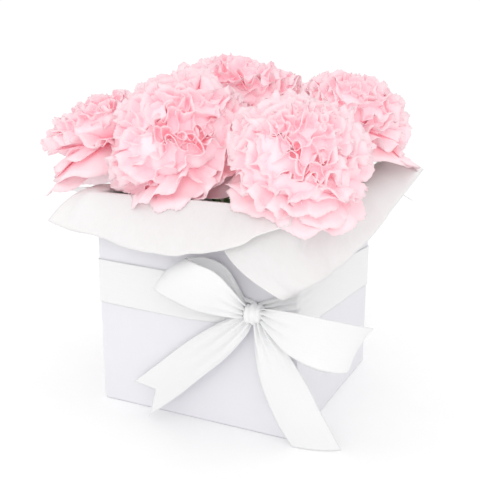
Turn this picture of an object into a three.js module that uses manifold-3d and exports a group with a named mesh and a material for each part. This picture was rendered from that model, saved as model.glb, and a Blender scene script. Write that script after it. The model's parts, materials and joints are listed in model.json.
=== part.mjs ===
// A gift flower box: a white folded carton with a tied satin ribbon, lined with two crossed
// tissue sheets, that holds a plastic tray of wet floral foam and five cut carnations.
//
// Millimetres, +Z up. The origin is the middle of the underside of the base, the front wall
// faces -Y and the bow sits on the front wall, near its right-hand edge.

import * as THREE from 'three';
import { mergeVertices } from 'three/addons/utils/BufferGeometryUtils.js';
import Module from 'manifold-3d';

// ---------------------------------------------------------------- driving dimensions
const BOX = 120;            // outside width, depth and height of the carton
const BOARD = 0.8;          // thickness of the carton board
const FOLD = 1;             // outer radius of a folded corner
const GAP = 0.3;            // clearance kept between neighbouring pieces
const HALF = BOX / 2;
const INSIDE = HALF - BOARD;

const FLAP_DEPTH = 56;      // depth of each dust flap in the base

const TISSUE = 0.5;         // thickness that stands for one sheet of tissue
const TISSUE_HALF = 57;     // half of the width of a tissue strip inside the carton
const TISSUE_WALL = INSIDE - GAP - TISSUE / 2 - 0.1;   // where a strip runs up a wall
const FIRST_SHEET = { floor: 3.6, crest: 121.3 };      // heights on the base and over the rim
const SECOND_SHEET = { floor: 4.5, crest: 122.2 };

const TRAY_BOTTOM = 5.1;    // underside of the plastic tray
const TRAY_TOP = 100;
const TRAY_WALL = 0.6;
const TRAY_HALF_TOP = 57.5;
const TRAY_HALF_BOTTOM = 56.5;

const FOAM_TOP = 98;
const FOAM_HALF = 55.2;
const STEM_RADIUS = 2.2;
const HOLE_RADIUS = 2.6;
const STEM_DEPTH = 48;      // length of stem pushed into the foam

const RIBBON_WIDTH = 25;
const RIBBON = 0.5;         // thickness that stands for the satin ribbon
const BAND_HEIGHT = 70;     // height of the middle of the ribbon band on the front wall
const KNOT = new THREE.Vector3(38.5, -65.8, 68);
const KNOT_RADII = new THREE.Vector3(6, 4.2, 5);

const BLOOM_RADIUS = 36;
const BLOOM_FLOOR = 123.6;  // the blooms stay above the rim and the tissue that crosses it
const BLOOM_GAP = 0.6;      // from a bloom to the plane halfway to its neighbour
const CALYX_TOP = -8.3;     // ends of the calyx, measured from the middle of the bloom
const CALYX_BOTTOM = -36;

// Each flower: where its stem enters the foam, and the middle of its bloom.
const FLOWERS = {
  front_left: { entry: [-14, 10], bloom: [-24, -31, 148] },
  front_right: { entry: [24, -8], bloom: [52, -41, 142] },
  left: { entry: [-20, -22], bloom: [-82, -16, 149] },
  back: { entry: [-26, 30], bloom: [-18, 40, 168] },
  back_right: { entry: [26, 28], bloom: [53, 38, 160] },
};

// ---------------------------------------------------------------- materials
const finish = (color, roughness, metalness = 0) =>
  new THREE.MeshStandardMaterial({ color, roughness, metalness });

const CARD = () => finish(0xf1f1f6, 0.75);
const CARD_INSIDE = () => finish(0xe9e7e2, 0.85);
const SATIN = () => finish(0xfafafc, 0.35);
const TISSUE_PAPER = () => finish(0xf2f0ee, 0.9);
const CLEAR_PLASTIC = () => finish(0xdfe4e2, 0.4);
const WET_FOAM = () => finish(0x1f4a2c, 0.95);
const GREEN = () => finish(0x7fa06a, 0.6);
const PETAL = () => finish(0xf9c6d3, 0.7);

// ---------------------------------------------------------------- helpers
const wasm = await Module();
wasm.setup();

const part = new THREE.Group();
const vec = (x, y, z) => new THREE.Vector3(x, y, z);

function add(name, geometry, material, parent = part) {
  const mesh = new THREE.Mesh(geometry, material);
  mesh.name = name;
  parent.add(mesh);
  return mesh;
}

// A box between two corners.
function slab(low, high) {
  const size = high.clone().sub(low);
  const geometry = new THREE.BoxGeometry(size.x, size.y, size.z);
  const middle = low.clone().add(high).multiplyScalar(0.5);
  return geometry.translate(middle.x, middle.y, middle.z);
}

// A closed mesh as a solid for cutting, and back again.
function toSolid(geometry) {
  const bare = geometry.clone();
  bare.deleteAttribute('normal');
  bare.deleteAttribute('uv');
  const merged = mergeVertices(bare, 1e-4);
  return new wasm.Manifold(new wasm.Mesh({
    numProp: 3,
    vertProperties: new Float32Array(merged.attributes.position.array),
    triVerts: new Uint32Array(merged.index.array),
  }));
}

function toGeometry(solid) {
  const mesh = solid.getMesh();
  const geometry = new THREE.BufferGeometry();
  geometry.setAttribute('position', new THREE.BufferAttribute(mesh.vertProperties, 3));
  geometry.setIndex(new THREE.BufferAttribute(mesh.triVerts, 1));
  return geometry;
}

// A thin panel bent onto surface(u, v), which gives a point for u and v from 0 to 1. The
// panel's own thickness is laid out along the surface's normal.
function bentPanel(surface, thickness, alongSteps, acrossSteps) {
  const step = 1e-3;
  const geometry = new THREE.BoxGeometry(1, 1, 1, alongSteps, acrossSteps, 1);
  const position = geometry.attributes.position;
  for (let i = 0; i < position.count; i += 1) {
    const u = position.getX(i) + 0.5;
    const v = position.getY(i) + 0.5;
    const [u0, u1] = [Math.max(u - step, 0), Math.min(u + step, 1)];
    const [v0, v1] = [Math.max(v - step, 0), Math.min(v + step, 1)];
    const along = surface(u1, v).sub(surface(u0, v));
    const across = surface(u, v1).sub(surface(u, v0));
    const normal = along.cross(across).normalize();
    const point = surface(u, v).addScaledVector(normal, position.getZ(i) * thickness);
    position.setXYZ(i, point.x, point.y, point.z);
  }
  geometry.computeVertexNormals();
  return geometry;
}

// The surface of a ribbon that passes through stations, each with the middle of the ribbon
// and the vector from there to one edge. A notch is cut into the far end as a V.
function ribbonSurface(stations, notch = 0) {
  const middle = new THREE.CatmullRomCurve3(stations.map(([at]) => vec(...at)), false, 'centripetal');
  const edge = new THREE.CatmullRomCurve3(stations.map(([, to]) => vec(...to)), false, 'centripetal');
  return (u, v) => {
    const side = 2 * v - 1;
    const along = u * (1 - notch * (1 - Math.abs(side)));
    return middle.getPoint(along).addScaledVector(edge.getPoint(along), side);
  };
}

// A sheet through rows of three points each: near edge, middle and far edge. It is straight
// from row to row and curved across.
function sheetSurface(rows) {
  return (u, v) => {
    const along = u * (rows.length - 1);
    const row = Math.min(Math.floor(along), rows.length - 2);
    const points = rows[row].map((from, k) => vec(...from).lerp(vec(...rows[row + 1][k]), along - row));
    return new THREE.QuadraticBezierCurve3(
      points[0],
      points[1].multiplyScalar(2).sub(points[0].clone().add(points[2]).multiplyScalar(0.5)),
      points[2],
    ).getPoint(v);
  };
}

// ---------------------------------------------------------------- carton
function carton() {
  const ring = new THREE.Shape();
  const turn = [[1, -1], [1, 1], [-1, 1], [-1, -1]];
  turn.forEach(([sx, sy], corner) => {
    const start = (corner - 1) * Math.PI / 2;
    const x = sx * (HALF - FOLD);
    const y = sy * (HALF - FOLD);
    ring.absarc(x, y, FOLD, start, start + Math.PI / 2);
  });
  const hollow = new THREE.Path();
  hollow.moveTo(-INSIDE, -INSIDE);
  hollow.lineTo(-INSIDE, INSIDE);
  hollow.lineTo(INSIDE, INSIDE);
  hollow.lineTo(INSIDE, -INSIDE);
  hollow.closePath();
  ring.holes.push(hollow);
  add('box_walls', new THREE.ExtrudeGeometry(ring, {
    depth: BOX, bevelEnabled: false, curveSegments: 4,
  }), CARD());

  const reach = INSIDE - GAP;
  const layer = (n) => n * (BOARD + GAP);
  add('base_panel', slab(
    vec(-reach, -reach, layer(0)),
    vec(reach, reach, layer(0) + BOARD),
  ), CARD());
  for (const [name, side] of [['dust_flap_left', -1], ['dust_flap_right', 1]]) {
    const near = side * reach;
    const far = side * (reach - FLAP_DEPTH);
    add(name, slab(
      vec(Math.min(near, far), -reach + 1, layer(1)),
      vec(Math.max(near, far), reach - 1, layer(1) + BOARD),
    ), CARD_INSIDE());
  }
  add('inner_base_panel', slab(
    vec(-reach, -reach, layer(2)),
    vec(reach, reach, layer(2) + BOARD),
  ), CARD_INSIDE());
}

// ---------------------------------------------------------------- tissue sheets
// A strip runs from one flared edge over the rim, down a wall, across the base, up the
// opposite wall and out over the rim again. Rows are listed for the part inside the carton
// with "out" along the strip; place() turns (out, side, height) into x, y, z. The left-right
// strip is laid first, and the front-back strip lies over it.
function insideRows(place, { floor, crest }) {
  const line = (out, height) => [-1, 0, 1].map((side) => place(out, side * TISSUE_HALF, height));
  const over = [[HALF + 0.6, crest], [INSIDE - 0.3, crest], [TISSUE_WALL, BOX - 0.8]];
  const down = [[TISSUE_WALL, BOX / 2], [TISSUE_WALL, floor + 2], [TISSUE_WALL - 1, floor]];
  const leg = [...over, ...down];
  return [
    ...leg.map(([out, height]) => line(-out, height)),
    line(0, floor),
    ...leg.reverse().map(([out, height]) => line(out, height)),
  ];
}

function tissueSheets() {
  const frontBack = [
    [[-86, -68, 103], [-12, -79, 99], [49, -67, 111]],
    [[-72, -65, 114], [-8, -70, 112], [53, -64, 117]],
    ...insideRows((out, side, height) => [side, out, height], SECOND_SHEET),
    [[-66, 68, 116], [0, 72, 114], [66, 68, 117]],
    [[-76, 76, 108], [4, 84, 104], [78, 78, 112]],
  ];
  const leftRight = [
    [[-103, -30, 112], [-88, 22, 110], [-84, 62, 111]],
    [[-80, -44, 117], [-76, 12, 117], [-73, 58, 118]],
    ...insideRows((out, side, height) => [out, side, height], FIRST_SHEET),
    [[64, -65, 106], [71, -10, 116], [76, 58, 123]],
    [[58, -71, 81], [84, -18, 107], [92, 58, 126]],
  ];
  const sheets = { tissue_front_back: frontBack, tissue_left_right: leftRight };
  for (const [name, rows] of Object.entries(sheets)) {
    const surface = sheetSurface(rows);
    const flipped = name === 'tissue_front_back' ? (u, v) => surface(u, 1 - v) : surface;
    add(name, bentPanel(flipped, TISSUE, 2 * (rows.length - 1), 6), TISSUE_PAPER());
  }
}

// ---------------------------------------------------------------- tray and foam
function tray(parent) {
  const corner = Math.SQRT2;      // a four-sided lathe's radius runs to its corners
  const profile = [
    [0, TRAY_BOTTOM],
    [TRAY_HALF_BOTTOM, TRAY_BOTTOM],
    [TRAY_HALF_TOP, TRAY_TOP],
    [TRAY_HALF_TOP - TRAY_WALL, TRAY_TOP],
    [TRAY_HALF_BOTTOM - TRAY_WALL, TRAY_BOTTOM + TRAY_WALL],
    [0, TRAY_BOTTOM + TRAY_WALL],
  ].map(([half, height]) => new THREE.Vector2(half * corner, height));
  const cup = new THREE.LatheGeometry(profile, 4);
  cup.rotateX(Math.PI / 2);
  cup.rotateZ(Math.PI / 4);
  add('liner_tray', cup, CLEAR_PLASTIC(), parent);
}

// The direction of a flower's stem, from the foam up to the bloom.
function stemAxis({ entry, bloom }) {
  return vec(...bloom).sub(vec(...entry, FOAM_TOP)).normalize();
}

// A piece modelled along +Z, turned along a flower's stem with its origin at the bloom.
function alongStem(geometry, flower) {
  const turn = new THREE.Quaternion().setFromUnitVectors(vec(0, 0, 1), stemAxis(flower));
  return geometry.applyQuaternion(turn).translate(...flower.bloom);
}

// How far below the bloom the foam's top lies, measured along the stem.
function foamDistance({ entry, bloom }) {
  return vec(...bloom).distanceTo(vec(...entry, FOAM_TOP));
}

function rod(radius, bottom, top, sides) {
  const geometry = new THREE.CylinderGeometry(radius, radius, top - bottom, sides);
  return geometry.rotateX(Math.PI / 2).translate(0, 0, (top + bottom) / 2);
}

function foam(parent) {
  const floor = TRAY_BOTTOM + TRAY_WALL + GAP;
  let block = toSolid(slab(
    vec(-FOAM_HALF, -FOAM_HALF, floor),
    vec(FOAM_HALF, FOAM_HALF, FOAM_TOP),
  ));
  for (const flower of Object.values(FLOWERS)) {
    const surface = -foamDistance(flower);
    const hole = rod(HOLE_RADIUS, surface - STEM_DEPTH - 1, surface + 10, 14);
    block = block.subtract(toSolid(alongStem(hole, flower)));
  }
  add('foam_block', toGeometry(block), WET_FOAM(), parent);
}

// ---------------------------------------------------------------- carnations
const CALYX_PROFILE = [[0, CALYX_BOTTOM], [3.4, CALYX_BOTTOM], [5.2, -33], [6.2, -24], [6.6, -14],
  [7.2, CALYX_TOP], [0, CALYX_TOP]];
const BLOOM_PROFILE = [[0, -8], [9, -8], [22, -6.5], [32, -3], [BLOOM_RADIUS, 4], [34, 12],
  [28, 18.5], [19, 23], [9, 25.5], [0, 26]];

function lathe(profile, sides) {
  const points = profile.map(([radius, height]) => new THREE.Vector2(radius, height));
  return new THREE.LatheGeometry(points, sides).rotateX(Math.PI / 2);
}

// A bloom is a dome, drawn in towards its middle where it would pass the plane halfway to a
// neighbouring bloom, or dip below the tissue on the rim.
function bloomSolid(flower) {
  const geometry = alongStem(lathe(BLOOM_PROFILE, 24), flower);
  const centre = vec(...flower.bloom);
  const limits = [{ way: vec(0, 0, -1), reach: centre.z - BLOOM_FLOOR }];
  for (const other of Object.values(FLOWERS)) {
    const way = vec(...other.bloom).sub(centre);
    const reach = way.length() / 2 - BLOOM_GAP;
    if (reach > 0) {
      limits.push({ way: way.normalize(), reach });
    }
  }
  const position = geometry.attributes.position;
  for (let i = 0; i < position.count; i += 1) {
    const arm = new THREE.Vector3().fromBufferAttribute(position, i).sub(centre);
    const scales = limits.map(({ way, reach }) => reach / Math.max(arm.dot(way), reach));
    const point = centre.clone().addScaledVector(arm, Math.min(...scales));
    position.setXYZ(i, point.x, point.y, point.z);
  }
  return geometry;
}

function carnation(name, flower, parent) {
  const surface = -foamDistance(flower);
  const stem = rod(STEM_RADIUS, surface - STEM_DEPTH, CALYX_BOTTOM - GAP, 10);
  add(`stem_${name}`, alongStem(stem, flower), GREEN(), parent);
  add(`calyx_${name}`, alongStem(lathe(CALYX_PROFILE, 14), flower), GREEN(), parent);
  add(`bloom_${name}`, bloomSolid(flower), PETAL(), parent);
}

// ---------------------------------------------------------------- ribbon and bow
// The band leaves the knot to the left, runs round the carton and comes back to the knot
// from the right. It is drawn together towards the knot and dips a little at the back.
function ribbonBand() {
  const bend = FOLD + GAP + RIBBON / 2 + 0.05;   // radius of the band round a folded corner
  const wall = HALF - FOLD + bend;
  const seam = 0.4;
  const gatherLength = 40;
  const gathered = 0.55;                         // share of the full width left at the knot
  const fromKnot = [seam, gatherLength / 3, 2 * gatherLength / 3, gatherLength];
  const path = fromKnot.map((away) => [KNOT.x - away, -wall]);
  [[-1, -1], [-1, 1], [1, 1], [1, -1]].forEach(([sx, sy], corner) => {
    for (let turn = 0; turn <= 3; turn += 1) {
      const angle = -Math.PI / 2 - (corner + turn / 3) * Math.PI / 2;
      path.push([
        sx * (HALF - FOLD) + bend * Math.cos(angle),
        sy * (HALF - FOLD) + bend * Math.sin(angle),
      ]);
    }
  });
  path.push([KNOT.x + seam, -wall]);
  const rows = path.map(([x, y]) => {
    const nearKnot = y < -HALF ? Math.abs(x - KNOT.x) / gatherLength : 1;
    const half = RIBBON_WIDTH / 2 * THREE.MathUtils.lerp(gathered, 1, Math.min(1, nearKnot));
    const middle = BAND_HEIGHT - 3 * THREE.MathUtils.smoothstep(y, -HALF, HALF);
    return [[x, y, middle + half], [x, y, middle], [x, y, middle - half]];
  });
  add('ribbon_band', bentPanel(sheetSurface(rows), RIBBON, rows.length - 1, 2), SATIN());
}

function bow() {
  const knot = new THREE.SphereGeometry(1, 16, 10);
  knot.scale(...KNOT_RADII).translate(...KNOT);
  add('bow_knot', knot, SATIN());

  // Stations: the middle of the ribbon, then the vector from there to its upper edge.
  add('bow_loop_left', bentPanel(ribbonSurface([
    [[31.6, -68, 70], [1, 0, 4]],
    [[24, -75, 76], [3, -1, 9]],
    [[9, -78, 82.5], [2, 1, 11.5]],
    [[-4, -75, 85], [4, 2, 10]],
    [[-8.5, -70.5, 85], [4, 2, 9.5]],
    [[-4, -66.5, 83.5], [4, 1, 9.5]],
    [[10, -64.5, 78.5], [2, 0, 10]],
    [[23, -63.8, 73], [1, 0, 7]],
    [[31.2, -64.2, 69], [0.5, 0, 3.6]],
  ]), RIBBON, 40, 3), SATIN());
  add('bow_loop_right', bentPanel(ribbonSurface([
    [[45.4, -68, 68.5], [0, 0, 4]],
    [[56, -74.5, 66], [1, 0, 9]],
    [[72, -77, 63.5], [1.5, 1, 11.5]],
    [[86, -70, 58.5], [4, 4, 10]],
    [[91.5, -62.5, 56], [4, 4.5, 9.5]],
    [[88, -58.5, 54.5], [4, 4, 9.5]],
    [[77, -62, 54], [2, 1, 11]],
    [[65, -64.8, 56.5], [1, 0, 10]],
    [[54, -64.8, 62], [0, 0, 7]],
    [[45.8, -64.4, 67], [0, 0, 3.6]],
  ]), RIBBON, 44, 3), SATIN());
  add('bow_tail_left', bentPanel(ribbonSurface([
    [[34, -64.2, 61.6], [2.6, 0, -1.6]],
    [[22, -65, 53], [6, 0, -6]],
    [[0, -65.5, 34.5], [7.6, 0, -8]],
    [[-19, -66, 17.5], [8, 0, -8.6]],
    [[-29, -66.5, 9], [7.4, 0, -8]],
  ], 0.13), RIBBON, 30, 4), SATIN());
  add('bow_tail_right', bentPanel(ribbonSurface([
    [[41.5, -64.4, 61.2], [2.8, 0, 1]],
    [[47, -66, 51], [6.5, 0, 3]],
    [[54.5, -67.5, 38], [11, 0, 3.5]],
    [[63.5, -66.5, 20], [12, 1.2, 2.6]],
    [[72.2, -61, 1], [11.8, 3.4, 0]],
  ]), RIBBON, 30, 4), SATIN());
}

// ---------------------------------------------------------------- the whole object
carton();
tissueSheets();
ribbonBand();
bow();

const insert = new THREE.Group();
part.add(insert);
tray(insert);
foam(insert);
for (const [name, flower] of Object.entries(FLOWERS)) {
  const stemmed = new THREE.Group();
  insert.add(stemmed);
  carnation(name, flower, stemmed);
}

export default part;
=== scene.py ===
"""A gift flower box: carton, satin ribbon and bow, tissue, foam tray and five carnations.

Lengths in this file are millimetres until mesh_object() turns them into metres.
"""

import json
import math

import bpy
import numpy as np
from mathutils.bvhtree import BVHTree
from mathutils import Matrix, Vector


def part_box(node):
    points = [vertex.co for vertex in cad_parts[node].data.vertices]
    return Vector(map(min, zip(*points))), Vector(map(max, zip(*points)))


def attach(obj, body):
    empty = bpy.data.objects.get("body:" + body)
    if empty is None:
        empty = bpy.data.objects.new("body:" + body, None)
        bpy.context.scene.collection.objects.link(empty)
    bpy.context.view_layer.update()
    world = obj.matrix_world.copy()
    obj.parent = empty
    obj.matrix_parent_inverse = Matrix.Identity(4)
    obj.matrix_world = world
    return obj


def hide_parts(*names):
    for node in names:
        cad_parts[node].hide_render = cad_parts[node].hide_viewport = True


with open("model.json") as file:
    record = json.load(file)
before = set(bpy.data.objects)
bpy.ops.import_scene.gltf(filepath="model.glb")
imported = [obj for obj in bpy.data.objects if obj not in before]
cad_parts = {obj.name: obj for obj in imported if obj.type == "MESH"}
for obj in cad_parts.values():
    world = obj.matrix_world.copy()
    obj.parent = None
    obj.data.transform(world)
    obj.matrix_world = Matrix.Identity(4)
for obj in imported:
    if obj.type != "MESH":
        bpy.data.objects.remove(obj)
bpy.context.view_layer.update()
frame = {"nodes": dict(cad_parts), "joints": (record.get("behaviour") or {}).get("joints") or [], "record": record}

MM = 0.001
UP = np.array([0.0, 0.0, 1.0])

# Camera, in millimetres and degrees: it looks down at the carton from its front right.
CAMERA_AT = (182.0, -375.9, 186.0)
CAMERA_YAW = 26.0
CAMERA_PITCH = 13.2
CAMERA_LENS = 54.0


# ---------------------------------------------------------------- frame measures
def node_box(node):
    """Lowest and highest corner of a CAD node, in millimetres."""
    low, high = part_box(node)
    return np.array(low) / MM, np.array(high) / MM


WALLS_TOP = node_box("box_walls")[1]
HALF = WALLS_TOP[0]         # half the carton's width
RIM = WALLS_TOP[2]          # its height
BOARD = 0.8                 # thickness of the carton's walls
KNOT = sum(node_box("bow_knot")) / 2
JOINTS = {joint["name"]: joint for joint in frame["joints"]}


def unit(vector):
    vector = np.asarray(vector, float)
    return vector / np.linalg.norm(vector, axis=-1, keepdims=True)


def smooth(low, high, x):
    """0 below low, 1 above high and an even S between them."""
    t = np.clip((np.asarray(x, float) - low) / (high - low), 0, 1)
    return t * t * (3 - 2 * t)


def spline(points, at):
    """Points at 0 to 1 along a Catmull-Rom curve through the rows of points."""
    points = np.asarray(points, float)
    first, last = 2 * points[0] - points[1], 2 * points[-1] - points[-2]
    padded = np.vstack([first, points, last])
    place = np.clip(np.asarray(at, float), 0, 1) * (len(points) - 1)
    start = np.minimum(place.astype(int), len(points) - 2)
    t = (place - start)[:, None]
    p0, p1, p2, p3 = (padded[start + k] for k in range(4))
    bend = 2 * p0 - 5 * p1 + 4 * p2 - p3
    swing = 3 * p1 - p0 - 3 * p2 + p3
    return 0.5 * (2 * p1 + (p2 - p0) * t + bend * t**2 + swing * t**3)


def grid_normals(points):
    """Unit normals of a grid of points, rows by columns by three."""
    along = np.gradient(points, axis=0)
    across = np.gradient(points, axis=1)
    return unit(np.cross(along, across) + 1e-12)


# ---------------------------------------------------------------- meshes
def grid_faces(rows, columns, offset=0):
    """Four-sided faces of a grid of rows by columns points."""
    index = np.arange(rows * columns).reshape(rows, columns) + offset
    corners = [index[:-1, :-1], index[1:, :-1], index[1:, 1:], index[:-1, 1:]]
    return np.stack([corner.ravel() for corner in corners], axis=1)


def mesh_object(name, points, faces, uv=None, tones=None):
    """A smooth-shaded object from points in millimetres, with a uv and a tone for each point."""
    mesh = bpy.data.meshes.new(name)
    mesh.from_pydata((np.asarray(points) * MM).tolist(), [], [list(face) for face in faces])
    mesh.polygons.foreach_set("use_smooth", [True] * len(mesh.polygons))
    if uv is not None:
        corner_points = np.zeros(len(mesh.loops), np.int32)
        mesh.loops.foreach_get("vertex_index", corner_points)
        layer = mesh.uv_layers.new(name="uv")
        layer.data.foreach_set("uv", np.asarray(uv, float)[corner_points].ravel())
    if tones is not None:
        tones = np.asarray(tones, float)
        colours = np.ones((len(tones), 4))
        colours[:, :3] = tones
        layer = mesh.color_attributes.new(name="tone", type="FLOAT_COLOR", domain="POINT")
        layer.data.foreach_set("color", colours.ravel())
    mesh.update()
    thing = bpy.data.objects.new(name, mesh)
    bpy.context.collection.objects.link(thing)
    return thing


def apply_modifiers(thing):
    """Replaces the object's mesh by what its modifiers make of it."""
    graph = bpy.context.evaluated_depsgraph_get()
    made = bpy.data.meshes.new_from_object(thing.evaluated_get(graph), depsgraph=graph)
    thing.modifiers.clear()
    thing.data = made


def thicken(thing, thickness):
    """Gives a sheet a thickness in millimetres, half on each side."""
    solid = thing.modifiers.new("thickness", "SOLIDIFY")
    solid.thickness = thickness * MM
    solid.offset = 0
    apply_modifiers(thing)


def weld(thing):
    """Joins the points that lie on each other where a grid closes on itself."""
    joint = thing.modifiers.new("weld", "WELD")
    joint.merge_threshold = 0.02 * MM
    apply_modifiers(thing)


def sheet_object(name, points, thickness):
    """A thin closed sheet over a grid of points, with uv in metres along and across it."""
    rows, columns = points.shape[:2]
    along = np.linalg.norm(np.diff(points, axis=0), axis=2).mean(axis=1)
    across = np.linalg.norm(np.diff(points, axis=1), axis=2).max(axis=0)
    u = np.concatenate([[0], np.cumsum(along)]) * MM
    v = np.concatenate([[0], np.cumsum(across)]) * MM
    uv = np.stack(np.meshgrid(u, v, indexing="ij"), axis=2).reshape(-1, 2)
    thing = mesh_object(name, points.reshape(-1, 3), grid_faces(rows, columns), uv)
    thicken(thing, thickness)
    return thing


def finish_piece(thing, slot, body, node):
    """Gives a piece its slot's material and the body that it rides on, and hides its CAD node."""
    thing.data.materials.clear()
    thing.data.materials.append(MATERIALS[slot])
    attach(thing, body)
    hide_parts(node)


# ---------------------------------------------------------------- materials
class Nodes:
    """A short way to build one Principled material."""

    def __init__(self, name, **sockets):
        self.material = bpy.data.materials.new(name)
        self.material.use_nodes = True
        self.tree = self.material.node_tree
        self.shader = self.tree.nodes["Principled BSDF"]
        for socket, value in sockets.items():
            self.shader.inputs[socket.replace("_", " ")].default_value = value

    def add(self, kind, inputs=None, **settings):
        node = self.tree.nodes.new(kind)
        for key, value in settings.items():
            setattr(node, key, value)
        for socket, value in (inputs or {}).items():
            if isinstance(value, bpy.types.NodeSocket):
                self.tree.links.new(value, node.inputs[socket])
            else:
                node.inputs[socket].default_value = value
        return node

    def coordinates(self, space, scale=(1, 1, 1)):
        source = self.add("ShaderNodeTexCoord").outputs[space]
        return self.add("ShaderNodeMapping", {"Vector": source, "Scale": scale}).outputs[0]

    def noise(self, vector, scale, detail, roughness=0.5):
        inputs = {"Vector": vector, "Scale": scale, "Detail": detail, "Roughness": roughness}
        return self.add("ShaderNodeTexNoise", inputs).outputs["Fac"]

    def ramp(self, factor, stops):
        node = self.add("ShaderNodeValToRGB", {"Fac": factor})
        elements = node.color_ramp.elements
        while len(elements) < len(stops):
            elements.new(0.5)
        for element, (position, colour) in zip(elements, stops):
            element.position = position
            element.color = (*colour, 1)
        return node.outputs["Color"]

    def mix(self, factor, output, colour):
        """An output's colour mixed with a plain one. The numbers are the colour sockets'."""
        inputs = {0: factor, 6: output, 7: (*colour, 1)}
        return self.add("ShaderNodeMix", inputs, data_type="RGBA").outputs[2]

    def maths(self, operation, first, second):
        return self.add("ShaderNodeMath", {0: first, 1: second}, operation=operation).outputs[0]

    def bump(self, height, strength, distance, normal=None):
        inputs = {"Height": height, "Strength": strength, "Distance": distance * MM}
        if normal is not None:
            inputs["Normal"] = normal
        return self.add("ShaderNodeBump", inputs).outputs["Normal"]

    def let_light_through(self, weight, depth):
        """Light of every colour wanders this many millimetres under the surface."""
        self.shader.inputs["Subsurface Weight"].default_value = weight
        self.shader.inputs["Subsurface Radius"].default_value = (1, 1, 1)
        self.shader.inputs["Subsurface Scale"].default_value = depth * MM

    def link(self, output, socket):
        self.tree.links.new(output, self.shader.inputs[socket])


def card_material(name, light, dark):
    """Matt paperboard: a faint mottle and fine felt marks."""
    m = Nodes(name, Roughness=0.62, Specular_IOR_Level=0.35)
    where = m.coordinates("Object")
    mottle = m.noise(where, 55, detail=4)
    m.link(m.ramp(mottle, [(0.3, dark), (0.7, light)]), "Base Color")
    fibres = m.noise(where, 2600, detail=4, roughness=0.7)
    felt = m.noise(where, 420, detail=2)
    rough = m.bump(fibres, 0.25, 0.05)
    m.link(m.bump(felt, 0.2, 0.12, rough), "Normal")
    return m.material


def satin_material():
    """White satin ribbon: fine lengthwise threads, a soft sheen and faint streaks."""
    m = Nodes(
        "satin", Roughness=0.36, Specular_IOR_Level=0.5, Anisotropic=0.45,
        Sheen_Weight=0.35, Sheen_Roughness=0.4,
    )
    streaks = m.noise(m.coordinates("UV", (90, 2600, 1)), 1.0, detail=2)
    m.link(m.ramp(streaks, [(0.3, (0.81, 0.81, 0.815)), (0.7, (0.83, 0.83, 0.835))]), "Base Color")
    threads = m.add(
        "ShaderNodeTexWave",
        {"Vector": m.coordinates("UV"), "Scale": 900.0, "Distortion": 0.6, "Detail": 1.0},
        bands_direction="Y",
    ).outputs["Fac"]
    ribs = m.noise(m.coordinates("UV", (1400, 260, 1)), 1.0, detail=1)
    m.link(m.bump(threads, 0.08, 0.03, m.bump(ribs, 0.05, 0.04)), "Normal")
    return m.material


def tissue_material():
    """Thin white tissue: long fibres, soft crumple marks and a little light let through."""
    m = Nodes("tissue", Roughness=0.85, Specular_IOR_Level=0.2)
    m.let_light_through(0.6, 0.3)
    fibres = m.noise(m.coordinates("UV", (300, 1500, 1)), 1.0, detail=5, roughness=0.65)
    paper = m.ramp(fibres, [(0.3, (0.775, 0.759, 0.757)), (0.7, (0.805, 0.789, 0.787))])
    m.link(paper, "Base Color")
    creases = m.add(
        "ShaderNodeTexVoronoi",
        {"Vector": m.coordinates("UV"), "Scale": 55.0, "Randomness": 1.0},
        feature="DISTANCE_TO_EDGE",
    ).outputs["Distance"]
    folded = m.bump(m.maths("MINIMUM", creases, 0.12), 0.35, 0.8)
    m.link(m.bump(fibres, 0.3, 0.08, folded), "Normal")
    return m.material


def petal_material():
    """Carnation petal with fine veins. The throat is painted paler, as painted light that lifts the shade in the
    bloom's deep folds; those folds still deepen its pink.
    """
    m = Nodes("petal", Roughness=0.65, Specular_IOR_Level=0.15)
    stored = m.add("ShaderNodeAttribute", attribute_name="tone").outputs["Color"]
    tone = m.add("ShaderNodeSeparateColor", {"Color": stored}).outputs
    veins = m.noise(m.coordinates("UV", (120, 1100, 1)), 1.0, detail=3)
    streaks = m.maths("MULTIPLY", m.maths("SUBTRACT", veins, 0.5), 0.22)
    # painted light: the ramp is palest from the throat to mid-petal, to lift the shade of the deep folds, and
    # deepens towards the margins
    body = m.ramp(m.maths("ADD", tone["Red"], streaks), [
        (0.45, (1.0, 0.84, 0.885)),
        (0.75, (1.0, 0.80, 0.845)),
        (1.0, (1.0, 0.775, 0.82)),
    ])
    pale = m.mix(m.maths("MULTIPLY", tone["Green"], 0.6), body, (1.0, 0.80, 0.835))
    m.link(pale, "Base Color")
    m.link(m.bump(veins, 0.35, 0.12), "Normal")
    return m.material


def waxy_green_material(name, light, dark):
    """Stem and calyx: grey-green with a waxy bloom and faint lengthwise ribs."""
    m = Nodes(name, Roughness=0.48, Specular_IOR_Level=0.4, Coat_Weight=0.12)
    m.shader.inputs["Subsurface Weight"].default_value = 0.1
    m.shader.inputs["Subsurface Scale"].default_value = 0.002
    mottle = m.noise(m.coordinates("Object"), 160, detail=5)
    m.link(m.ramp(mottle, [(0.3, dark), (0.7, light)]), "Base Color")
    ribs = m.noise(m.coordinates("UV", (60, 900, 1)), 1.0, detail=2)
    m.link(m.bump(ribs, 0.3, 0.15), "Normal")
    return m.material


def foam_material():
    """Soaked floral foam: dark green open cells."""
    m = Nodes("wet_foam", Roughness=0.8, Specular_IOR_Level=0.45)
    where = m.coordinates("Object")
    cells = m.add(
        "ShaderNodeTexVoronoi", {"Vector": where, "Scale": 900.0, "Randomness": 1.0}
    ).outputs["Distance"]
    crumbs = m.noise(where, 160, detail=6, roughness=0.65)
    m.link(m.ramp(crumbs, [(0.3, (0.012, 0.05, 0.022)), (0.7, (0.05, 0.15, 0.07))]), "Base Color")
    m.link(m.bump(crumbs, 0.6, 1.2, m.bump(cells, 0.7, 0.5)), "Normal")
    return m.material


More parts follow.
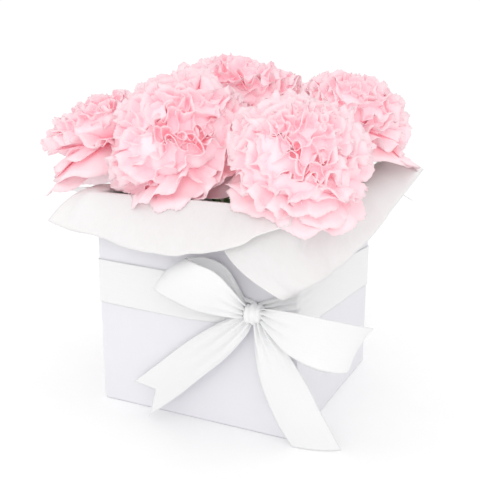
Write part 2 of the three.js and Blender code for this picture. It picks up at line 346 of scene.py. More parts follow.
def tray_material():
    """Thin moulded plastic: milky, with a faint moulding texture."""
    m = Nodes("liner_plastic", Roughness=0.38, Specular_IOR_Level=0.5, Subsurface_Weight=0.15)
    where = m.coordinates("Object")
    haze = m.noise(where, 45, detail=3)
    m.link(m.ramp(haze, [(0.3, (0.70, 0.73, 0.71)), (0.7, (0.80, 0.83, 0.81))]), "Base Color")
    m.link(m.bump(m.noise(where, 700, detail=2), 0.2, 0.05), "Normal")
    return m.material


def floor_material():
    m = Nodes("studio_floor", Roughness=0.9, Specular_IOR_Level=0.1)
    grain = m.noise(m.coordinates("Object"), 30, detail=2)
    m.link(m.ramp(grain, [(0.3, (0.99, 0.99, 0.99)), (0.7, (1.0, 1.0, 1.0))]), "Base Color")
    return m.material


MATERIALS = {
    "card": card_material("card", (0.782, 0.777, 0.81), (0.772, 0.767, 0.80)),
    "card_inside": card_material("card_inside", (0.80, 0.79, 0.76), (0.76, 0.75, 0.72)),
    "satin": satin_material(),
    "tissue": tissue_material(),
    "liner_plastic": tray_material(),
    "wet_foam": foam_material(),
    "stem": waxy_green_material("stem", (0.33, 0.50, 0.22), (0.22, 0.38, 0.15)),
    "calyx": waxy_green_material("calyx", (0.42, 0.57, 0.33), (0.31, 0.46, 0.25)),
    "petal": petal_material(),
}


def dress_cad_nodes():
    """Gives each CAD node that stays in view the material of its slot."""
    for subpart in frame["record"]["subparts"]:
        thing = frame["nodes"][subpart["node"]]
        material = MATERIALS[subpart["material_slot"]]
        if thing.material_slots:
            for place in thing.material_slots:
                place.material = material
        else:
            thing.data.materials.append(material)


# ---------------------------------------------------------------- carton
CORNER_FOLD = 1.0           # outer radius of the folds between the walls
BOTTOM_FOLD = 1.3           # outer radius of the folds between the walls and the base
SMALLEST_FOLD = 0.25        # radius of the inner side of a fold
FOLD_END = 24               # a bottom fold stops this many degrees short of the flat base
FOOT = 0.15                 # the inner face starts this far up
CUT_EDGE = 0.12             # how far the cut edge of the board is worn round
BESIDE_FOLD = 0.5           # a row of points this far from a fold or the rim keeps the wall flat
QUARTERS = ((1, 1), (-1, 1), (-1, -1), (1, -1))


def carton():
    """The four walls: a tube of board with rounded folds and a cut edge at the rim."""
    turns = np.linspace(math.pi / 2, math.radians(FOLD_END), 8)
    section = [(BOARD, FOOT), (BOARD, RIM - CUT_EDGE), (BOARD - CUT_EDGE, RIM), (CUT_EDGE, RIM)]
    section += [(0, height) for height in (
        RIM - CUT_EDGE, RIM - BESIDE_FOLD, RIM / 2, BOTTOM_FOLD + BESIDE_FOLD,
    )]
    section += [(BOTTOM_FOLD * (1 - math.sin(a)), BOTTOM_FOLD * (1 - math.cos(a))) for a in turns]
    section.append(section[0])
    rows = []
    for inset, height in section:
        radius = max(CORNER_FOLD - inset, SMALLEST_FOLD)
        middle = HALF - inset - radius
        row = []
        for quarter, corner in enumerate(QUARTERS):
            for angle in np.linspace(0, math.pi / 2, 6):
                angle += quarter * math.pi / 2
                spot = middle * np.array(corner)
                spot = spot + radius * np.array([math.cos(angle), math.sin(angle)])
                row.append((*spot, height))
            last = np.array(row[-1])
            along = np.array([-math.sin(angle), math.cos(angle), 0])
            steps = (BESIDE_FOLD, middle, 2 * middle - BESIDE_FOLD)
            row += [tuple(last + along * step) for step in steps]
        row.append(row[0])
        rows.append(row)
    points = np.array(rows)
    thing = mesh_object("carton_walls", points.reshape(-1, 3), grid_faces(*points.shape[:2]))
    weld(thing)
    finish_piece(thing, "card", "box", "box_walls")


# ---------------------------------------------------------------- tissue
TISSUE = 0.12               # thickness
COLUMNS = 91                # points across a sheet
FLAP_ROWS = 22              # points along a flap
FLAP_BEND = 0.45            # a flap bends down most at this share of its way out
DRAPE_SHARE = 0.45          # the drape of a side edge fades out over this share of the width
STRIP_HALF = 57.0           # where a strip turns onto the next wall
FIRST_OUT, SECOND_OUT = 58.7, 58.1      # distance of each sheet from the middle of the carton
CREST_OUT = HALF + 0.7      # where a flap starts, over the rim
WALL_CLEARANCE = 1.1        # a flap that falls outside the carton stays this far off its walls,
RIM_CLEARANCE = 0.6         # up to this far above the rim
STRAIGHT = (0, 0, 0)


def strip_inside(side_range, wall, floor, crest, place):
    """A strip from one crest down a wall, across the base and up to the other crest.

    side_range gives the strip's two edges at its start and at its end. Where the strip is
    wider than the carton, it turns onto the next wall. place() turns (out, side, height)
    into x, y, z.
    """
    leg = [(CREST_OUT, crest), (HALF - 0.2, crest + 0.25), (wall, RIM - 1.2)]
    leg += [(wall, height) for height in np.linspace(RIM - 8, floor + 2, 9)]
    leg += [(wall - 1.5, floor)]
    base = [(out, floor) for out in np.linspace(wall - 6, 6 - wall, 11)]
    path = [(-out, height) for out, height in leg] + [(-out, height) for out, height in base]
    path += [(out, height) for out, height in reversed(leg)]
    rows = []
    for step, (out, height) in enumerate(path):
        near = step / (len(path) - 1)
        low = np.interp(near, [0, 1], side_range[0])
        high = np.interp(near, [0, 1], side_range[1])
        row = []
        for side in np.linspace(low, high, COLUMNS):
            extra = max(0.0, abs(side) - STRIP_HALF)
            if extra == 0:
                row.append(place(out, side, height))
                continue
            across = wall if height < RIM else abs(out)
            back = math.copysign(min(abs(out), STRIP_HALF - extra), out)
            row.append(place(back, math.copysign(across, side), max(height, floor + extra)))
        rows.append(row)
    return np.array(rows)


def clear_of_walls(points):
    """Moves the points that would cut into the carton out past its walls."""
    out = np.abs(points[..., :2]).max(axis=2)
    inside = (points[..., 2] < RIM + RIM_CLEARANCE) & (out < HALF + WALL_CLEARANCE)
    grow = np.where(inside, (HALF + WALL_CLEARANCE) / out, 1)
    return points * np.stack([grow, grow, np.ones_like(grow)], axis=2)


def flap(crest, edge, lift, drapes, rng):
    """A flap from a crest, a row of points, out to its free edge, given by a few points.

    drapes move the middle of the flap's first and last side edges, and less and less
    between them.
    """
    columns = len(crest)
    free = spline(edge, np.linspace(0, 1, columns))
    t = np.linspace(0, 1, FLAP_ROWS)[:, None, None]
    near_first = smooth(0, DRAPE_SHARE, DRAPE_SHARE - np.linspace(0, 1, columns))[:, None]
    near_last = near_first[::-1]
    middle = crest + (free - crest) * FLAP_BEND + UP * lift
    middle = middle + np.array(drapes[0]) * near_first + np.array(drapes[1]) * near_last
    points = crest * (1 - t) ** 2 + 2 * middle * t * (1 - t) + free * t**2
    across = np.linspace(0, 1, columns)[None, :]
    reach = t[:, :, 0]
    ripple = np.zeros((FLAP_ROWS, columns))
    for waves, height in ((2.2, 1.5), (4.3, 1.1), (7.7, 0.55), (13.0, 0.25)):
        phase, lean = rng.uniform(0, 2 * math.pi), rng.uniform(-1.5, 1.5)
        ripple += height * np.sin(2 * math.pi * waves * across + phase + lean * reach)
    normal = grid_normals(points)
    return clear_of_walls(points + normal * (ripple * reach**1.3)[:, :, None])


def tissue_sheet(name, side_range, wall, heights, place, edges, lifts, drapes, seed):
    """A sheet with a flap at each end. heights are those of the base and of the crests."""
    rng = np.random.default_rng(seed)
    inside = strip_inside(side_range, wall, *heights, place)
    first = flap(inside[0], edges[0], lifts[0], drapes[0], rng)[::-1]
    last = flap(inside[-1], edges[1], lifts[1], drapes[1], rng)
    points = np.concatenate([first[:-1], inside, last[1:]])
    thing = sheet_object(f"{name}_paper", points, TISSUE)
    finish_piece(thing, "tissue", "box", name)
    return thing


def tissue():
    """Makes both sheets and gives a map of how high they stand."""
    front_edge = [
        (-88, -66, 103), (-69, -71, 101), (-50, -74, 100.5), (-29, -77, 97), (-9, -79, 96),
        (8, -80, 98), (25, -78, 102.5), (42, -73.5, 108), (58, -66, 115),
    ]
    back_edge = [
        (-80, 82, 108), (-55, 80, 111), (-28, 84, 104), (2, 86, 101), (30, 83, 105), (62, 79, 112),
        (82, 84, 106),
    ]
    front_back = tissue_sheet(
        "tissue_front_back", ((-72, -72), (57, 74)), SECOND_OUT, (4.5, RIM + 1.6),
        lambda out, side, height: (side, out, height), (front_edge, back_edge), (1, 5),
        (((-4, 0, 12), STRAIGHT), (STRAIGHT, STRAIGHT)), 11,
    )
    left_edge = [(-105, -27, 113), (-93, -6, 114), (-90, 22, 108), (-92, 48, 111), (-86, 72, 108)]
    right_edge = [
        (56, -71.5, 79), (64, -67, 83), (71, -51, 87), (76, -33, 92), (81, -13, 99), (85, 8, 109),
        (90, 36, 121), (93.5, 58, 130),
    ]
    left_right = tissue_sheet(
        "tissue_left_right", ((-57, -92), (57, 57)), FIRST_OUT, (3.6, RIM + 0.8),
        lambda out, side, height: (out, side, height), (left_edge, right_edge), (5, 4),
        ((STRAIGHT, STRAIGHT), ((-26, -12, -6), (-9, 0, 20))), 23,
    )
    return map_tissue(front_back, left_right)


# ---------------------------------------------------------------- ribbon
RIBBON_HALF = 12.5          # half its width
RIBBON = 0.3                # thickness
RIBBON_COLUMNS = 33         # points across it
EASE = 2.4                  # a ribbon takes up this much width without a pleat
BAND_BEND = 1.45            # radius of the band's bend round a folded corner
BAND_GATHER = 42            # the band narrows over this length on each side of the knot
BAND_PLEATS = 5


def ribbon_points(stations, steps, pleats, cup=0.0, notch=0.0, phase=0.0):
    """A ribbon through stations: its middle's x, y, z, then the vector to one edge.

    Where it is narrower than its full width it folds into pleats. cup bows it across, and
    notch cuts its far end to a V.
    """
    side = np.linspace(-1, 1, RIBBON_COLUMNS)
    u = np.linspace(0, 1, steps)[:, None] * (1 - notch * (1 - np.abs(side)))[None, :]
    values = spline(stations, u.ravel()).reshape(steps, RIBBON_COLUMNS, 6)
    middle, edge = values[..., :3], values[..., 3:]
    half = np.linalg.norm(edge, axis=2)
    points = middle + edge * side[None, :, None]
    normal = grid_normals(points)
    spare = np.clip(2 * (RIBBON_HALF - half) - EASE, 0, None)
    fold = np.cos(math.pi * pleats * side[None, :] + phase) * spare / (3 * pleats)
    bow = cup * (1 - side[None, :] ** 2) * half / RIBBON_HALF
    return points + normal * (fold + bow)[:, :, None]


def ribbon_piece(name, stations, steps, length, pleats=3.2, **shape):
    points = ribbon_points(stations, steps, pleats, **shape)
    thing = sheet_object(f"{name}_satin", points, RIBBON)
    finish_piece(thing, "satin", "box", name)


def bow():
    ribbon_piece("bow_loop_left", [
        (33.5, -67.6, 69.6, 0.8, 0, 3.6),
        (27, -72.5, 74, 3.5, -1, 7.5),
        (17, -77, 79.5, 6, 0, 10.5),
        (6, -78.5, 83.5, 7.6, 0.5, 10),
        (-2.8, -75.5, 85, 8.8, 1, 9.2),
        (-6.8, -70.8, 85, 9.2, 1, 8.8),
        (-3.8, -67.2, 84.4, 8.4, 0.6, 9),
        (7, -65.6, 84, 6, 0, 9.8),
        (20, -64.6, 79.5, 3.6, 0, 9),
        (32.5, -64.5, 69, 0.8, 0, 3.4),
    ], 120, 96, cup=-2.0, phase=0.6)
    ribbon_piece("bow_loop_right", [
        (43.6, -67.8, 68.4, -0.4, 0, 3.6),
        (51, -72.5, 67, 0, 0, 7.2),
        (62, -76.5, 65, 1, 0, 10.6),
        (76, -76.5, 62.5, 2, 1.5, 11.8),
        (88, -69, 58.8, 4, 4.2, 11),
        (92.3, -61.8, 56.5, 4.2, 4.8, 10.2),
        (89.5, -57.5, 54.8, 4.2, 4.4, 10),
        (79, -60.5, 53.5, 2.6, 2, 11),
        (66, -64.4, 55.6, 1, 0, 10.2),
        (54, -65, 61, 0, 0, 7),
        (44.6, -64.8, 66.6, 0, 0, 3.4),
    ], 130, 106, cup=-1.6, phase=2.0)
    ribbon_piece("bow_tail_left", [
        (35, -65.5, 64.8, 2.4, 0, -2),
        (30, -66.5, 60, 4.6, -1, -4),
        (18, -66.5, 49.5, 6.8, -3, -5.8),
        (2, -66.8, 36, 7.6, -4.2, -6.6),
        (-13, -67.2, 22.5, 7.8, -4.5, -6.8),
        (-29, -68, 9.3, 7.6, -4.5, -6.6),
    ], 90, 86, cup=-1.5, notch=0.1, phase=1.2)
    ribbon_piece("bow_tail_right", [
        (41, -65.5, 64, 3, 0, 0.6),
        (44, -67, 57, 5.2, 0, 1.8),
        (50, -68.5, 46.5, 9, 0, 3.2),
        (57, -69, 33, 11.6, 0.3, 3.6),
        (64.5, -67.4, 17, 12, 1.4, 2.8),
        (72, -62.5, 0.6, 12, 3.4, 0.2),
    ], 90, 74, cup=1.6, phase=0.2)


def knot():
    """The ribbon's tight wrap over the middle of the bow: a barrel with soft pleats."""
    rows, columns = 49, 65
    along = np.linspace(-1, 1, rows)[:, None]
    turn = np.linspace(0, 2 * math.pi, columns)[None, :]
    low, high = node_box("bow_knot")
    half = (high - low) / 2
    round_off = np.sqrt(np.clip(1 - np.abs(along) ** 3.2, 0, 1))
    pleat = 0.10 * np.cos(9.5 * along + 0.5 * np.sin(turn)) * round_off
    swell = (round_off + pleat) * (1 + 0.05 * np.sin(2 * turn + 2 * along))
    x = half[0] * along * (1 + 0.06 * np.cos(turn)) + np.zeros_like(turn)
    y = half[1] * swell * np.cos(turn)
    z = half[2] * swell * np.sin(turn) + 0.6 * along
    points = KNOT + np.stack([x, y, z], axis=2)
    faces = grid_faces(rows, columns)
    uv = np.stack(np.meshgrid(along.ravel() * 0.012, turn.ravel() * 0.005, indexing="ij"), axis=2)
    thing = mesh_object("bow_knot_wrap", points.reshape(-1, 3), faces, uv.reshape(-1, 2))
    weld(thing)
    finish_piece(thing, "satin", "box", "bow_knot")


def band():
    """The ribbon round the carton, from the knot's left side round to its right side."""
    flat_half = HALF - CORNER_FOLD
    wall = flat_half + BAND_BEND
    away = [0.3, *np.linspace(4, BAND_GATHER, 14)]
    away += [*np.linspace(BAND_GATHER + 4, KNOT[0] + HALF - 4, 16)]
    path = [(KNOT[0] - step, -wall) for step in away]
    corners = [(-1, -1), (-1, 1), (1, 1), (1, -1)]
    for number, (sx, sy) in enumerate(corners):
        centre = np.array([sx, sy]) * flat_half
        for angle in np.linspace(0, math.pi / 2, 7):
            heading = -math.pi / 2 - number * math.pi / 2 - angle
            path.append(tuple(centre + BAND_BEND * np.array([math.cos(heading), math.sin(heading)])))
        if number < 3:
            here, there = np.array(path[-1]), np.array(corners[number + 1]) * flat_half
            heading = -math.pi - number * math.pi / 2
            there = there + BAND_BEND * np.array([math.cos(heading), math.sin(heading)])
            path += [tuple(here + (there - here) * share) for share in np.linspace(0, 1, 26)[1:-1]]
    path += [(KNOT[0] + step, -wall) for step in (16, 12, 8, 4, 0.3)]
    path = np.array(path)
    length = np.concatenate([[0], np.cumsum(np.linalg.norm(np.diff(path, axis=0), axis=1))])
    turns = [0, *(KNOT[0] + count * HALF for count in (1, 3, 5, 7)), 8 * HALF]
    heights = [KNOT[2], 71.5, 67.5, 65.5, 72.5, KNOT[2]]    # at the knot and at each corner
    middle = np.interp(length, turns, heights)
    nearest = np.minimum(length, length[-1] - length)
    width = np.interp(nearest, [0, 8, 22, BAND_GATHER], [0.36, 0.5, 0.85, 1]) * RIBBON_HALF
    side = np.linspace(-1, 1, RIBBON_COLUMNS)
    outward = np.zeros((len(path), 2))
    tangent = np.gradient(path, axis=0)
    outward[:, 0], outward[:, 1] = tangent[:, 1], -tangent[:, 0]
    outward = -unit(outward)
    outward *= np.sign((outward * path).sum(axis=1, keepdims=True))
    spare = 2 * (RIBBON_HALF - width)
    fold = (1 + np.cos(BAND_PLEATS * math.pi * side[None, :])) * spare[:, None] / 11
    proud = 0.25 * smooth(0.5, 1, np.abs(side))[None, :] * np.sin(length / 17)[:, None] ** 2
    flat = path[:, None, :] + outward[:, None, :] * (fold + proud)[:, :, None]
    height = middle[:, None] + width[:, None] * side[None, :]
    points = np.concatenate([flat, height[:, :, None]], axis=2)
    thing = sheet_object("ribbon_band_satin", points, RIBBON)
    finish_piece(thing, "satin", "box", "ribbon_band")


# ---------------------------------------------------------------- carnations
CALYX_TO_BLOOM = 36.3       # from the top of the stem solid to the middle of the bloom
STEM_RADIUS = 2.2
STEM_SLACK = 0.97           # the drawn stem is this share of the CAD stem's radius
CALYX_DEPTH = 9.0           # the petals leave the calyx this far under the bloom's middle
NEIGHBOUR = 88.0            # blooms with their middles farther apart don't meet
BLOOM_MARGIN = 5.0          # petals start to give way this far from a neighbour
OVERLAP = 1.5               # and may cross the plane between the two blooms by this much
TISSUE_MARGIN = 3.0         # petals start to give way this far above the tissue
TISSUE_CLEARANCE = 1.0      # and stay this far above it

# Each bloom: half-width and height of the dome that its margins reach, how far its face is
# turned up from the direction of its stem, and what its outer petals' hang is multiplied by.
BLOOMS = {
    "front_left": (41.5, 36.0, 0.6, 1.0),
    "front_right": (37.0, 31.0, 0.7, 0.5),
    "left": (40.5, 20.0, 1.5, 1.1),
    "back": (48.0, 25.0, 0.0, 1.0),
    "back_right": (36.0, 24.0, 1.5, 1.0),
}
FIRST_SEED = 101            # each bloom draws from a seed of its own


def stem_length(name, axis):
    """Length of the CAD stem along its axis, from the height of its box."""
    low, high = node_box(f"stem_{name}")
    across = 2 * STEM_RADIUS * math.sqrt(1 - axis[2] ** 2)
    return (high[2] - low[2] - across) / axis[2]


def flower_place(name):
    """Middle of the bloom and direction of the stem, from the CAD stem and its joint."""
    axis = unit(JOINTS[f"flower_{name}_pull"]["axis"])
    middle = sum(node_box(f"stem_{name}")) / 2
    return middle + axis * (stem_length(name, axis) / 2 + CALYX_TO_BLOOM), axis


PLACES = {name: flower_place(name) for name in BLOOMS}


def turned(points, name, lift=0.0):
    """Points modelled round +Z, moved to a flower's place, and turned up by lift."""
    centre, axis = PLACES[name]
    base = centre - axis * CALYX_DEPTH
    axis = unit(axis + UP * lift)
    centre = base + axis * CALYX_DEPTH
    side = unit(np.cross(UP, axis))
    return points @ np.stack([side, np.cross(axis, side), axis]) + centre


def give_way(distance, margin):
    """Squeezes distances under margin, so that none is below zero."""
    squeezed = margin * np.exp((np.minimum(distance, margin) - margin) / margin)
    return np.where(distance < margin, squeezed, distance)


MAP_HALF = 130.0            # the height map of the tissue reaches this far from the middle
MAP_STEP = 2.0
MAP_ABOVE = 300.0           # its rays start this high
MAP_EMPTY = -50.0           # height where there is neither tissue nor carton


def map_tissue(*sheets):
    """How high the tissue and the rim stand, on a square grid seen from above."""
    graph = bpy.context.evaluated_depsgraph_get()
    trees = [BVHTree.FromObject(sheet, graph) for sheet in sheets]
    ticks = np.arange(-MAP_HALF, MAP_HALF, MAP_STEP)
    heights = np.zeros((len(ticks), len(ticks)))
    for i, x in enumerate(ticks):
        for j, y in enumerate(ticks):
            inside = max(abs(x), abs(y)) < HALF + 1
            heights[i, j] = RIM + 0.5 if inside else MAP_EMPTY
            for tree in trees:
                hit = tree.ray_cast((x * MM, y * MM, MAP_ABOVE * MM), (0, 0, -1))[0]
                if hit is not None:
                    heights[i, j] = max(heights[i, j], hit.z / MM)
    return heights


def tissue_height(heights, places):
    """Height of the tissue or the rim under each x, y."""
    at = np.clip((places + MAP_HALF) / MAP_STEP, 0, len(heights) - 2.001)
    low = at.astype(int)
    share = at - low
    x, y = low.T
    u, v = share.T
    lower = heights[x, y] * (1 - u) + heights[x + 1, y] * u
    upper = heights[x, y + 1] * (1 - u) + heights[x + 1, y + 1] * u
    return lower * (1 - v) + upper * v


def make_room(points, name, heights):
    """Presses petals back from the neighbouring blooms, and up off the rim and the tissue."""
    centre, _ = PLACES[name]
    for other, (there, _) in PLACES.items():
        gap = there - centre
        if other == name or np.linalg.norm(gap) > NEIGHBOUR:
            continue
        way = unit(gap)
        share = BLOOMS[name][0] / (BLOOMS[name][0] + BLOOMS[other][0])
        depth = np.linalg.norm(gap) * share + OVERLAP - (points - centre) @ way
        points = points - way * (give_way(depth, BLOOM_MARGIN) - depth)[:, None]
    floor = tissue_height(heights, points[:, :2]) + TISSUE_CLEARANCE
    points[:, 2] = floor + give_way(points[:, 2] - floor, TISSUE_MARGIN)
    return points


# Rings of petals from the outside in: count, angle from the axis of where their margins
# point, how much of the dome they reach, petal width, ruffle height, how pale they are and how
# far their tips hang down.
RINGS = (
    (6, 101, 1.12, 50, 1.0, 1.0, 17),
    (7, 93, 1.06, 43, 2.1, 0.8, 10),
    (9, 82, 1.0, 37, 2.9, 0.5, 3),
    (10, 71, 1.0, 34, 3.1, 0.3, 0),
    (10, 60, 1.0, 32, 3.2, 0.2, 0),
    (10, 49, 1.0, 30, 3.3, 0.1, 0),
    (10, 38, 1.0, 27, 3.3, 0.05, 0),
    (9, 27, 1.0, 24, 3.3, 0.0, 0),
    (8, 17, 1.0, 21, 3.2, 0.0, 0),
    (5, 6, 1.0, 17, 3.0, 0.0, 0),
)
PETAL_ROWS, PETAL_COLUMNS = 13, 41      # points along and across a petal
PETAL = 0.2                 # thickness
CORE = 0.8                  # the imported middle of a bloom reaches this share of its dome
LEAN = 0.3                  # spread of how far one side of a petal leans over, in radians
CALM_RUFFLE = 2.6           # petals with a lower ruffle than this also wave and lean less
TOOTH = 1.3                 # the teeth of a margin stand out by 0.2 to 0.7 of this


def petal(rng, dome, ring, turn):
    """One petal: points, sag, tones and uv. It springs from the calyx and opens into a fan.

    A dome whose petals hang less than usual also has them reach out less. The tones are how
    far along the petal a point is, how pale the petal is, and a spare number of its own.
    """
    _, angle, reach, width, ruffle, pale, hang = ring
    dome_half, dome_height, _, hang_share = dome
    calm = min(1.0, ruffle / CALM_RUFFLE)
    t = np.linspace(0, 1, PETAL_ROWS)[:, None]
    s = np.linspace(-1, 1, PETAL_COLUMNS)[None, :]
    angle = math.radians(angle + rng.normal(0, 5))
    reach = (1 + (reach - 1) * min(1.0, hang_share)) * (1 + rng.normal(0, 0.035))
    leaning = angle + calm * rng.normal(0, LEAN) * s[0]
    tip = np.stack([dome_half * np.sin(leaning), dome_height * np.cos(leaning) - 1], axis=1) * reach
    root = np.array([2.5 + 2 * math.sin(angle), -CALYX_DEPTH])
    knee = np.stack([0.42 * tip[:, 0] + 1.5, 0.62 * tip[:, 1] - 2.0], axis=1)
    teeth = np.where(np.arange(PETAL_COLUMNS) % 2 == 0, 1.0, 0.0)[None, :]
    teeth = teeth * rng.uniform(0.2, 0.7, PETAL_COLUMNS)[None, :]
    fan = 1 - 0.16 * np.abs(s) ** 2.6 + 0.025 * np.sin(3.1 * s * math.pi + rng.uniform(0, 6))
    length = np.linalg.norm(tip - knee, axis=1).mean() + np.linalg.norm(knee - root, axis=1).mean()
    along = (t * (fan + teeth * TOOTH / length * smooth(0.8, 1, t)))[..., None]
    profile = root * (1 - along) ** 2 + 2 * knee * along * (1 - along) + tip * along**2
    radius, height = np.moveaxis(profile, 2, 0)
    half_width = width / 2 * (0.16 + 0.84 * smooth(0.0, 0.9, t)) * (1 + rng.normal(0, 0.05))
    bearing = turn + half_width * s / np.maximum(radius, 0.45 * half_width + 3.0)

    phases = rng.uniform(0, 2 * math.pi, 6)
    waves = rng.uniform(2.9, 4.0) * width / 36 * calm
    main = math.pi * waves * s + phases[0] + 1.2 * np.sin(2.2 * t + phases[1])
    fine = math.pi * waves * 2.3 * s + phases[2] + 1.5 * t
    grow = smooth(0.25, 1.0, t) ** 1.4
    fullness = 0.75 + 0.35 * np.sin(2.3 * s + phases[4])
    swing = ruffle * grow * fullness * (np.sin(main) + 0.22 * np.sin(fine))
    swing += 1.4 * grow * np.sin(5 * t + 2 * s + phases[3])
    curl = -0.32 * ruffle * grow * fullness * np.sin(2 * main)

    slope_r = np.gradient(radius, axis=0)
    slope_h = np.gradient(height, axis=0)
    size = np.hypot(slope_r, slope_h) + 1e-9
    out_r, out_h = -slope_h / size, slope_r / size
    radius = radius + swing * out_r
    height = height + swing * out_h + 1.2 * grow * np.sin(fine * 0.5 + phases[5])
    bearing = bearing + curl / np.maximum(radius, 8.0)
    points = np.stack([radius * np.cos(bearing), radius * np.sin(bearing), height], axis=2)
    paleness = np.clip(pale + rng.normal(0, 0.12), 0, 1)
    tone = np.stack([
        np.clip(t * np.ones_like(s) * 0.92 + 0.05 * swing / ruffle, 0, 1),
        np.full((PETAL_ROWS, PETAL_COLUMNS), paleness),
        np.full((PETAL_ROWS, PETAL_COLUMNS), rng.uniform(0, 1)),
    ], axis=2)
    uv = np.stack([t * length * MM + s * 0, s * width / 2 * MM + t * 0 + rng.uniform(0, 1)], axis=2)
    sag = hang * np.repeat(t, PETAL_COLUMNS, axis=1) ** 2
    return points.reshape(-1, 3), sag.ravel(), tone.reshape(-1, 3), uv.reshape(-1, 2)


def packed_middle(dome, rng):
    """The body of folded petals under the margins, which closes the gaps between them."""
    half, height = CORE * dome[0], CORE * dome[1]
    profile = [(half * math.sin(a), height * math.cos(a) - 1) for a in np.linspace(0, 1.65, 16)]
    phases = rng.uniform(0, 2 * math.pi, 3)

    def folds(levels, turn):
        swirl = 0.16 * levels[:, None]
        return 1 + 0.05 * np.sin(11 * turn + swirl + phases[0]) + 0.03 * np.sin(19 * turn - swirl)

    return lathed([*profile, (9, 0.5 - CALYX_DEPTH), (0, -CALYX_DEPTH)], 72, folds)


def bloom(name, heights, seed):
    """All petals of a flower as one piece. heights is the map of the tissue under them."""
    rng = np.random.default_rng(seed)
    golden = math.pi * (3 - math.sqrt(5))
    parts, faces, count = [], [], 0
    for number, ring in enumerate(RINGS):
        start = number * golden + rng.uniform(0, 1)
        for place in range(ring[0]):
            turn = start + 2 * math.pi * place / ring[0] + rng.normal(0, 0.2)
            parts.append(petal(rng, BLOOMS[name], ring, turn))
            faces += grid_faces(PETAL_ROWS, PETAL_COLUMNS, count).tolist()
            count += PETAL_ROWS * PETAL_COLUMNS
    core, core_faces, core_uv = packed_middle(BLOOMS[name], rng)
    parts.append((core, np.zeros(len(core)), np.full((len(core), 3), 0.5), core_uv))
    faces += [[corner + count for corner in face] for face in core_faces]
    points, sags, tones, uvs = (np.concatenate(values) for values in zip(*parts))
    lift, hang = BLOOMS[name][2:]
    placed = turned(points, name, lift) - UP * hang * sags[:, None]
    placed = make_room(placed, name, heights)
    thing = mesh_object(f"petals_{name}", placed, faces, uvs, tones)
    thicken(thing, PETAL)
    finish_piece(thing, "petal", f"flower_{name}", f"bloom_{name}")


def lathed(profile, sides, wobble=None):
    """A turned solid round +Z from (radius, height) pairs that start and end on the axis."""
    radii, heights = np.array(profile, float).T
    turn = np.linspace(0, 2 * math.pi, sides, endpoint=False)
    ring = np.stack([np.cos(turn), np.sin(turn)], axis=1)
    inner = np.arange(1, len(radii) - 1)
    scale = np.ones((len(inner), sides)) if wobble is None else wobble(heights[inner], turn)
    body = np.concatenate([
        radii[inner][:, None, None] * scale[..., None] * ring[None],
        np.broadcast_to(heights[inner][:, None, None], (len(inner), sides, 1)),
    ], axis=2).reshape(-1, 3)
    ends = np.array([[0, 0, heights[0]], [0, 0, heights[-1]]])
    points = np.vstack([body, ends])
    index = np.arange(len(body)).reshape(len(inner), sides)
    after = np.roll(index, -1, axis=1)
    faces = np.stack([index[:-1], after[:-1], after[1:], index[1:]], axis=2).reshape(-1, 4).tolist()
    first, last = len(body), len(body) + 1
    faces += [[first, b, a] for a, b in zip(index[0], after[0])]
    faces += [[last, a, b] for a, b in zip(index[-1], after[-1])]
    uv = np.stack([points[:, 2] * MM, np.arctan2(points[:, 1], points[:, 0]) * 0.006], axis=1)
    return points, faces, uv


JOINT_AT = 0.66             # the stem's swollen joint is at this share of its length,
JOINT_SWELL = 0.28          # this much thicker than the stem
JOINT_LENGTH = 2.2          # and fades into it over about this length on each side
CALYX = (                   # radius and height under the bloom's middle
    (2.6, -36), (4.3, -35.4), (4.9, -33.5), (5.3, -30), (5.9, -24), (6.2, -17), (6.5, -11),
    (6.9, -5.5),
)


def stem_and_calyx(name):
    """The stem with a swollen joint, and the ribbed, toothed tube that holds the petals."""
    body = f"flower_{name}"
    length = stem_length(name, PLACES[name][1])
    top = -CALYX_TO_BLOOM
    bottom = top - length
    heights = np.linspace(bottom, top, 60)
    joint = bottom + JOINT_AT * length
    swell = 1 + JOINT_SWELL * np.exp(-(((heights - joint) / JOINT_LENGTH) ** 2))
    profile = [(0, bottom), *zip(STEM_RADIUS * STEM_SLACK * swell, heights), (0, top)]
    points, faces, uv = lathed(profile, 20)
    stem = mesh_object(f"stem_shape_{name}", turned(points, name), faces, uv)
    finish_piece(stem, "stem", body, f"stem_{name}")

    radii, levels = np.array(CALYX).T
    heights = np.linspace(levels[0], levels[-1], 40)
    radii = np.interp(heights, levels, radii)
    profile = [(0, levels[0]), *zip(radii, heights), (0, -CALYX_DEPTH)]

    def ribbed(levels, turn):
        ribs = 1 + 0.012 * np.cos(15 * turn)[None, :]
        lobes = 0.5 + 0.5 * np.cos(5 * turn)[None, :]
        flare = smooth(-14, CALYX[-1][1], levels)[:, None]
        return ribs * (1 - 0.16 * flare * (1 - lobes))

    points, faces, uv = lathed(profile, 60, ribbed)
    calyx = mesh_object(f"calyx_shape_{name}", turned(points, name), faces, uv)
    finish_piece(calyx, "calyx", body, f"calyx_{name}")


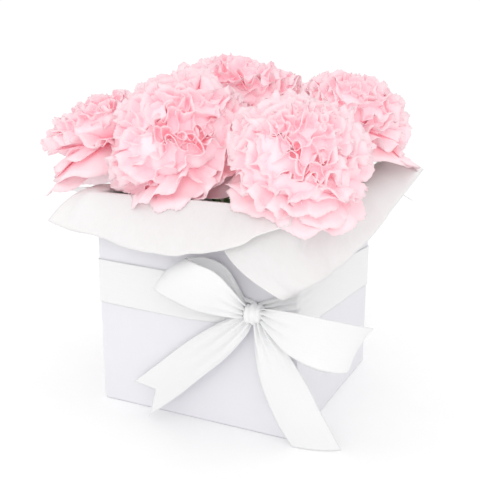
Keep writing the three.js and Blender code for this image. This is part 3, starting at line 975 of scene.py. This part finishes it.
# ---------------------------------------------------------------- studio
FLOOR = 6.0                 # half the floor's width, in metres
FLOOR_DROP = 0.02           # the floor lies this far under the carton
WORLD_LIGHT = 1.04
KEY = {"yaw": 18, "pitch": 22, "distance": 1.4, "size": 0.9, "power": 2.6}
LIT_HEIGHT = 90.0           # the key light points at this height over the middle
BOUNCES = 32                # white card and pale petals keep their colour in their folds


def look(yaw, pitch):
    """Rotation of a camera or light that looks along +Y turned by yaw, down by pitch."""
    return (math.radians(90 - pitch), 0, math.radians(yaw))


def camera():
    data = bpy.data.cameras.new("camera")
    data.lens = CAMERA_LENS
    data.sensor_width = 36
    data.clip_start, data.clip_end = 0.01, 50
    thing = bpy.data.objects.new("camera", data)
    thing.location = np.array(CAMERA_AT) * MM
    thing.rotation_euler = look(CAMERA_YAW, CAMERA_PITCH)
    bpy.context.collection.objects.link(thing)
    bpy.context.scene.camera = thing


def area_light(name, yaw, pitch, distance, size, power):
    """A round light, in metres and watts, that stands out from the middle on the given side."""
    data = bpy.data.lights.new(name, "AREA")
    data.shape, data.size, data.energy = "DISK", size, power
    thing = bpy.data.objects.new(name, data)
    a, e = math.radians(yaw), math.radians(pitch)
    back = np.array([math.sin(a) * math.cos(e), -math.cos(a) * math.cos(e), math.sin(e)])
    thing.location = back * distance + UP * LIT_HEIGHT * MM
    thing.rotation_euler = look(yaw, pitch)
    bpy.context.collection.objects.link(thing)


def studio():
    corners = np.array([[-1, -1, 0], [1, -1, 0], [1, 1, 0], [-1, 1, 0]]) * FLOOR / MM
    floor = mesh_object("studio_floor", corners - UP * FLOOR_DROP, [[0, 1, 2, 3]])
    floor.data.materials.append(floor_material())
    world = bpy.data.worlds.new("studio")
    world.use_nodes = True
    background = world.node_tree.nodes["Background"]
    background.inputs["Color"].default_value = (1, 1, 1, 1)
    background.inputs["Strength"].default_value = WORLD_LIGHT
    area_light("key", **KEY)
    scene = bpy.context.scene
    scene.world = world
    scene.cycles.max_bounces = BOUNCES
    scene.cycles.diffuse_bounces = BOUNCES
    scene.view_settings.view_transform = "Standard"
    scene.view_settings.look = "None"


# ---------------------------------------------------------------- the object
camera()
studio()
dress_cad_nodes()
carton()
tissue_heights = tissue()
band()
bow()
knot()
for order, flower in enumerate(BLOOMS):
    bloom(flower, tissue_heights, FIRST_SEED + order)
    stem_and_calyx(flower)
